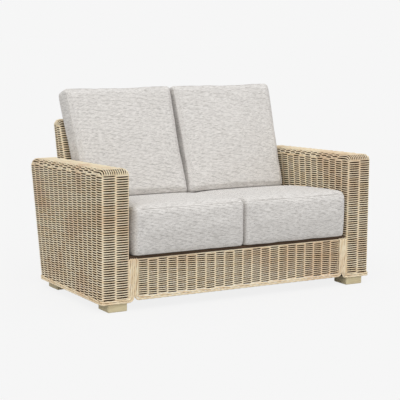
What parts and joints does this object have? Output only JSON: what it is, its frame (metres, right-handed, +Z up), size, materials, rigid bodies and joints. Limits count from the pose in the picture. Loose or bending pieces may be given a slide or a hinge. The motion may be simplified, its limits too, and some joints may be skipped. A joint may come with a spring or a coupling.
{
  "type": "two-seat rattan sofa",
  "caption": "Woven rattan sofa for two, with square raked arms, a low wedge back, an apron, wooden feet, and loose boxed cushions on a webbed seat and against the back.",
  "frame": {"origin": "on the floor, midway across the width and midway between the foremost point of the seat cushions and the rearmost point of the woven back", "axes": "+X runs across the sofa to the right of somebody facing its front from outside, the front faces -Y, +Z is up"},
  "size_m": [1.4, 0.8298, 0.9082],
  "materials": {
    "rattan_weave": "satin",
    "rattan_pole": "satin",
    "cane_rod": "satin",
    "foot_wood": "satin",
    "seat_hardwood": "matte",
    "webbing": "matte",
    "cushion_fabric": "matte",
    "foam": "matte",
    "screw_steel": "satin"
  },
  "bodies": {
    "frame": {"apron_border": "cane_rod", "apron_lower_pole": "rattan_pole", "apron_struts": "rattan_pole", "apron_weave": "rattan_weave", "back_base_pole": "rattan_pole", "back_border": "cane_rod", "back_foot_pole": "rattan_pole", "back_knee_pole": "rattan_pole", "back_posts": "rattan_pole", "back_studs": "rattan_pole", "back_top_pole": "rattan_pole", "back_weave": "rattan_weave", "coach_screws": "screw_steel", "foot_screws": "screw_steel", "left_arm_border": "cane_rod", "left_arm_bottom_rails": "rattan_pole", "left_arm_cross_rails": "rattan_pole", "left_arm_posts": "rattan_pole", "left_arm_top_rails": "rattan_pole", "left_arm_weave": "rattan_weave", "left_corner_blocks": "seat_hardwood", "left_front_foot": "foot_wood", "left_rear_foot": "foot_wood", "left_seat_side_rail": "seat_hardwood", "right_arm_border": "cane_rod", "right_arm_bottom_rails": "rattan_pole", "right_arm_cross_rails": "rattan_pole", "right_arm_posts": "rattan_pole", "right_arm_top_rails": "rattan_pole", "right_arm_weave": "rattan_weave", "right_corner_blocks": "seat_hardwood", "right_front_foot": "foot_wood", "right_rear_foot": "foot_wood", "right_seat_side_rail": "seat_hardwood", "seat_front_rail": "seat_hardwood", "seat_middle_rail": "seat_hardwood", "seat_rear_rail": "seat_hardwood", "seat_webbing": "webbing"},
    "left_seat": {"left_seat_cushion": "cushion_fabric", "left_seat_foam": "foam"},
    "left_back": {"left_back_cushion": "cushion_fabric", "left_back_foam": "foam"},
    "right_seat": {"right_seat_cushion": "cushion_fabric", "right_seat_foam": "foam"},
    "right_back": {"right_back_cushion": "cushion_fabric", "right_back_foam": "foam"}
  },
  "joints": [
    {"name": "left_seat_slide", "type": "slide", "parent": "frame", "child": "left_seat", "axis": [0, -0.9954, 0.0958], "range_m": [0, 0.6]},
    {"name": "left_back_lift", "type": "slide", "parent": "frame", "child": "left_back", "axis": [0, 0.3535, 0.9354], "range_m": [0, 0.5]},
    {"name": "right_seat_slide", "type": "slide", "parent": "frame", "child": "right_seat", "axis": [0, -0.9954, 0.0958], "range_m": [0, 0.6]},
    {"name": "right_back_lift", "type": "slide", "parent": "frame", "child": "right_back", "axis": [0, 0.3535, 0.9354], "range_m": [0, 0.5]}
  ]
}
